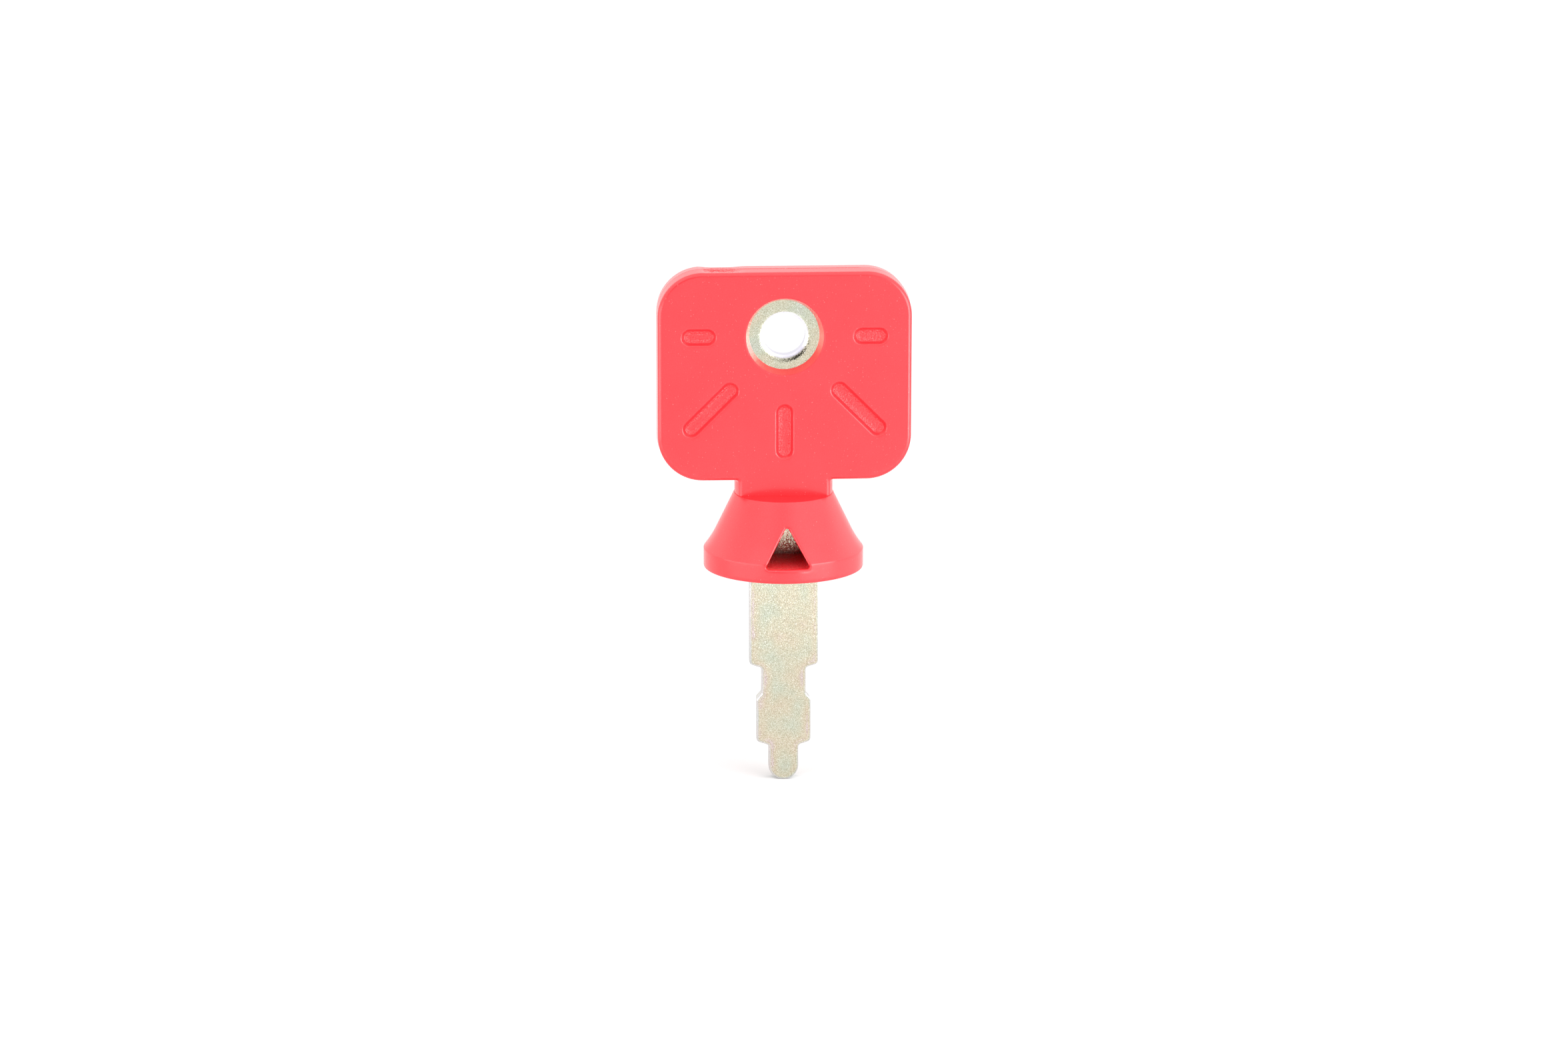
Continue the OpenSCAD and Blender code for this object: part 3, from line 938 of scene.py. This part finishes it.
def zincPlatedSteel():
    # bright zinc over tumbled steel, passivated yellow: small crystals that each catch the light their
    # own way under a thin tinted film, a few with a painted glint, rubbed smooth and pale along the edges and
    # in the bore
    material, tree = startMaterial("zincPlatedSteel")
    place = addNode(tree, "ShaderNodeTexCoord").outputs["Object"]
    # finish falls to -1 beside the blade's edges and grows to 1 where it is rubbed
    finish = addNode(tree, "ShaderNodeAttribute", {"attribute_name": "finish"}).outputs["Fac"]
    # the film's thickness drifts over a few millimetres, and its colour with it
    film = addNode(tree, "ShaderNodeTexNoise", inputs={
        "Vector": place, "Scale": perMetre(steelFinish["filmSize"]), "Detail": 2})
    thinnest, thickest = steelFinish["filmRange"]
    drifted = addNode(tree, "ShaderNodeMapRange", inputs={
        "Value": film.outputs["Fac"], "To Min": thinnest, "To Max": thickest})
    nearEdge = addNode(tree, "ShaderNodeMapRange", inputs={
        "Value": finish, "From Min": 0, "From Max": -1, "To Min": 0, "To Max": steelFinish["edgeShift"]})
    thickness = addNode(tree, "ShaderNodeMath", {"operation": "ADD"}, {
        0: drifted.outputs["Result"], 1: nearEdge.outputs["Result"]})
    tint = addNode(tree, "ShaderNodeValToRGB", inputs={"Fac": thickness.outputs["Value"]})
    ramp = tint.color_ramp
    while len(ramp.elements) < len(steelFinish["film"]):
        ramp.elements.new(0.5)
    for element, (position, colour) in zip(ramp.elements, steelFinish["film"]):
        element.position = position
        element.color = toLinear(colour)
    grain = addNode(tree, "ShaderNodeTexNoise", inputs={
        "Vector": place, "Scale": perMetre(steelFinish["grainSize"]), "Detail": 2})
    grainLow, grainHigh = steelFinish["grainEdge"]
    shade = addNode(tree, "ShaderNodeMapRange", inputs={
        "Value": grain.outputs["Fac"], "From Min": grainLow, "From Max": grainHigh})
    darkened = addNode(tree, "ShaderNodeMix", colourMix, {
        0: shade.outputs["Result"], 6: toLinear(steelFinish["grainShadow"]), 7: (1, 1, 1, 1)})
    plated = addNode(tree, "ShaderNodeMix", {"data_type": "RGBA", "blend_type": "MULTIPLY"}, {
        0: 1.0, 6: tint.outputs["Color"], 7: darkened.outputs[2]})
    # crystals about as wide as a hair is thick: a few carry a painted glint, a whiter colour, and each has
    # its own small tilt
    crystals = addNode(tree, "ShaderNodeTexVoronoi", inputs={
        "Vector": place, "Scale": perMetre(steelFinish["crystalSize"])})
    paintedGlintFrom, paintedGlintFull, paintedGlintMost = steelFinish["paintedGlintLuck"]
    paintedGlintMask = addNode(tree, "ShaderNodeMapRange", inputs={
        "Value": crystals.outputs["Color"], "From Min": paintedGlintFrom, "From Max": paintedGlintFull,
        "To Min": 0, "To Max": paintedGlintMost})
    withPaintedGlints = addNode(tree, "ShaderNodeMix", colourMix, {
        0: paintedGlintMask.outputs["Result"], 6: plated.outputs[2], 7: toLinear(steelFinish["paintedGlint"])})
    colour = addNode(tree, "ShaderNodeMix", colourMix, {
        0: finish, 6: withPaintedGlints.outputs[2], 7: toLinear(steelFinish["rubbed"])})
    roughness = addNode(tree, "ShaderNodeMapRange", inputs={
        "Value": finish, "To Min": steelFinish["roughness"], "To Max": steelFinish["rubbedRoughness"]})
    even = addNode(tree, "ShaderNodeVectorMath", {"operation": "SUBTRACT"}, {
        0: crystals.outputs["Color"], 1: (0.5, 0.5, 0.5)})
    # the steel inside the neck and the collar was never tumbled smooth
    height = addNode(tree, "ShaderNodeSeparateXYZ", inputs={0: place}).outputs["Z"]
    rawLow, rawHigh = steelFinish["rawFrom"]
    raw = addNode(tree, "ShaderNodeMapRange", softStep, {
        "Value": height, "From Min": rawLow * mm, "From Max": rawHigh * mm})
    eyeLow, eyeHigh = steelFinish["eyeFrom"]
    eye = addNode(tree, "ShaderNodeMapRange", softStep, {
        "Value": height, "From Min": eyeLow * mm, "From Max": eyeHigh * mm,
        "To Min": 1, "To Max": steelFinish["eyeRaw"]})
    hidden = addNode(tree, "ShaderNodeMath", {"operation": "MULTIPLY"}, {
        0: raw.outputs["Result"], 1: eye.outputs["Result"]})
    steep = addNode(tree, "ShaderNodeMapRange", inputs={
        "Value": hidden.outputs["Value"],
        "To Min": 2 * steelFinish["crystalTilt"], "To Max": 2 * steelFinish["rawTilt"]})
    tilt = addNode(tree, "ShaderNodeMix", numberMix, {
        0: finish, 2: steep.outputs["Result"], 3: steelFinish["rubbedTilt"]})
    lean = addNode(tree, "ShaderNodeVectorMath", {"operation": "SCALE"}, {
        0: even.outputs["Vector"], "Scale": tilt.outputs[0]})
    leaned = addNode(tree, "ShaderNodeVectorMath", inputs={
        0: addNode(tree, "ShaderNodeNewGeometry").outputs["Normal"], 1: lean.outputs["Vector"]})
    normal = addNode(tree, "ShaderNodeVectorMath", {"operation": "NORMALIZE"}, {0: leaned.outputs["Vector"]})
    skin = addNode(tree, "ShaderNodeBsdfPrincipled", inputs={
        "Base Color": colour.outputs[2], "Roughness": roughness.outputs["Result"], "Metallic": 1.0,
        "Normal": normal.outputs["Vector"]})
    addNode(tree, "ShaderNodeOutputMaterial", inputs={"Surface": skin.outputs["BSDF"]})
    return material


plasticHead.data.materials.append(injectionMouldedAbs())
steelBlade.data.materials.append(zincPlatedSteel())
print("finishes applied")


stageSet = {
    "floorHeight": -33.2,
    "floorSize": 4000,
    "floorColour": "#D3D3D3",
    "tent": 0.87,
    "backdrop": 1.05,  # what the camera itself sees behind the key
    # brighter parts of the tent: where, half angles of the even part and of the whole, and how much more
    "tentSpots": (
        ((75, 28), 20, 70, 0.85), ((-80, 30), 20, 65, 0.7), ((180, 25), 30, 80, 0.3), ((0, 70), 15, 55, 0.6)),
    # what stands round the camera is darker than the tent
    "cameraSpot": ((-11, 9), 9, 16, -0.86),
    # the sheet is lit from below in front of the key, in rings that begin, are full from and to,
    # and are gone at so many mm, and how much
    "glows": (
        (-2, -1, 10, 70, 0.1), (120, 140, 145, 180, 0.85), (230, 260, 310, 350, 0.15),
        (340, 420, 1800, 1990, 0.2)),
    "glowSpots": (((15, 0), 70, 115, 1.0),),
    # softboxes stand on the sheet: azimuth, distance, width, height and radiance
    "softboxes": {
        "softboxRight": (47, 200, 230, 150, 4.7),
        "softboxLeft": (-60, 200, 330, 110, 2.4),
    },
    "softboxEven": 0.6,  # share of its half width and its height over which a softbox is even
}


def lookFrom(azimuth, elevation):
    # azimuth 0 looks at the front, and grows towards the key's right-hand side
    a, e = degrees(azimuth, elevation)
    return Vector((math.sin(a) * math.cos(e), -math.cos(a) * math.cos(e), math.sin(e)))


def spotOfLight(tree, way, place, inner, outer, strength):
    # a round spot of light, seen in the direction given and faded out between the two half angles
    nearness = addNode(tree, "ShaderNodeVectorMath", {"operation": "DOT_PRODUCT"}, {
        0: way, 1: lookFrom(*place)})
    outside, inside = (math.cos(a) for a in degrees(outer, inner))
    return addNode(tree, "ShaderNodeMapRange", softStep, {
        "Value": nearness.outputs["Value"], "From Min": outside, "From Max": inside,
        "To Min": 0, "To Max": strength}).outputs["Result"]


def total(tree, *parts):
    found = parts[0]
    for part in parts[1:]:
        found = addNode(tree, "ShaderNodeMath", {"operation": "ADD"}, {0: found, 1: part}).outputs["Value"]
    return found


def addFloor():
    half = stageSet["floorSize"] / 2 * mm
    z = stageSet["floorHeight"] * mm
    mesh = bpy.data.meshes.new("floor")
    corners = [(-half, -half, z), (half, -half, z), (half, half, z), (-half, half, z)]
    mesh.from_pydata(corners, [], [(0, 1, 2, 3)])
    floor = bpy.data.objects.new("floor", mesh)
    bpy.context.scene.collection.objects.link(floor)
    material, tree = startMaterial("opalSheet")
    place = addNode(tree, "ShaderNodeTexCoord").outputs["Object"]
    flat = addNode(tree, "ShaderNodeVectorMath", {"operation": "MULTIPLY"}, {0: place, 1: (1, 1, 0)})
    reach = addNode(tree, "ShaderNodeVectorMath", {"operation": "LENGTH"}, {0: flat.outputs["Vector"]})
    way = addNode(tree, "ShaderNodeVectorMath", {"operation": "NORMALIZE"}, {0: flat.outputs["Vector"]})
    rings = []
    for begins, fullFrom, fullTo, gone, strength in stageSet["glows"]:
        rise = addNode(tree, "ShaderNodeMapRange", softStep, {
            "Value": reach.outputs["Value"], "From Min": begins * mm, "From Max": fullFrom * mm,
            "To Min": 0, "To Max": strength})
        fall = addNode(tree, "ShaderNodeMapRange", softStep, {
            "Value": reach.outputs["Value"], "From Min": fullTo * mm, "From Max": gone * mm,
            "To Min": 1, "To Max": 0})
        rings.append(addNode(tree, "ShaderNodeMath", {"operation": "MULTIPLY"}, {
            0: rise.outputs["Result"], 1: fall.outputs["Result"]}).outputs["Value"])
    lit = total(tree, *[spotOfLight(tree, way.outputs["Vector"], *part) for part in stageSet["glowSpots"]])
    glow = addNode(tree, "ShaderNodeMath", {"operation": "MULTIPLY"}, {0: total(tree, *rings), 1: lit})
    opal = addNode(tree, "ShaderNodeBsdfPrincipled", inputs={
        "Base Color": toLinear(stageSet["floorColour"]), "Roughness": 0.9, "Specular IOR Level": 0.1,
        "Emission Color": (1, 1, 1, 1), "Emission Strength": glow.outputs["Value"]})
    addNode(tree, "ShaderNodeOutputMaterial", inputs={"Surface": opal.outputs["BSDF"]})
    mesh.materials.append(material)


def addTent():
    # a white light tent, open where the camera stands
    world = bpy.data.worlds.new("lightTent")
    world.use_nodes = True
    tree = world.node_tree
    tree.nodes.clear()
    way = addNode(tree, "ShaderNodeTexCoord").outputs["Generated"]
    spots = [spotOfLight(tree, way, *part) for part in stageSet["tentSpots"] + (stageSet["cameraSpot"],)]
    lit = addNode(tree, "ShaderNodeMath", {"operation": "ADD"}, {0: total(tree, *spots), 1: stageSet["tent"]})
    seen = addNode(tree, "ShaderNodeLightPath").outputs["Is Camera Ray"]
    backdrop = addNode(tree, "ShaderNodeMix", numberMix, {
        0: seen, 2: lit.outputs["Value"], 3: stageSet["backdrop"]})
    light = addNode(tree, "ShaderNodeBackground", inputs={
        "Color": (1, 1, 1, 1), "Strength": backdrop.outputs[0]})
    addNode(tree, "ShaderNodeOutputWorld", inputs={"Surface": light.outputs["Background"]})
    bpy.context.scene.world = world


def addSoftbox(name, azimuth, distance, width, height, radiance):
    # an upright screen that faces the key and fades out towards its top and sides
    half, top = width / 2 * mm, height * mm
    mesh = bpy.data.meshes.new(name)
    mesh.from_pydata([(-half, 0, 0), (half, 0, 0), (half, 0, top), (-half, 0, top)], [], [(0, 1, 2, 3)])
    screen = bpy.data.objects.new(name, mesh)
    bpy.context.scene.collection.objects.link(screen)
    screen.location = lookFrom(azimuth, 0) * distance * mm + Vector((0, 0, stageSet["floorHeight"] * mm))
    screen.rotation_euler.z = math.radians(azimuth)
    screen.visible_camera = False
    material, tree = startMaterial(name + "Cloth")
    place = addNode(tree, "ShaderNodeTexCoord").outputs["Object"]
    parts = addNode(tree, "ShaderNodeSeparateXYZ", inputs={0: place})
    aside = addNode(tree, "ShaderNodeMath", {"operation": "ABSOLUTE"}, {0: parts.outputs["X"]})
    fades = []
    for value, size in ((aside.outputs["Value"], half), (parts.outputs["Z"], top)):
        fade = addNode(tree, "ShaderNodeMapRange", softStep, {
            "Value": value, "From Min": size * stageSet["softboxEven"], "From Max": size,
            "To Min": 1, "To Max": 0})
        fades.append(fade.outputs["Result"])
    both = addNode(tree, "ShaderNodeMath", {"operation": "MULTIPLY"}, {0: fades[0], 1: fades[1]})
    strength = addNode(tree, "ShaderNodeMath", {"operation": "MULTIPLY"}, {
        0: both.outputs["Value"], 1: radiance})
    shine = addNode(tree, "ShaderNodeEmission", inputs={"Strength": strength.outputs["Value"]})
    clear = addNode(tree, "ShaderNodeBsdfTransparent")
    cloth = addNode(tree, "ShaderNodeAddShader", inputs={
        0: shine.outputs["Emission"], 1: clear.outputs["BSDF"]})
    addNode(tree, "ShaderNodeOutputMaterial", inputs={"Surface": cloth.outputs["Shader"]})
    mesh.materials.append(material)


addFloor()
addTent()
for name, settings in stageSet["softboxes"].items():
    addSoftbox(name, *settings)
bpy.context.scene.view_settings.view_transform = "Standard"
bpy.context.scene.view_settings.look = "None"
print("floor and light set")

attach(plasticHead, "root")
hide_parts("key_head")
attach(steelBlade, "root")
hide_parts("key_blade")
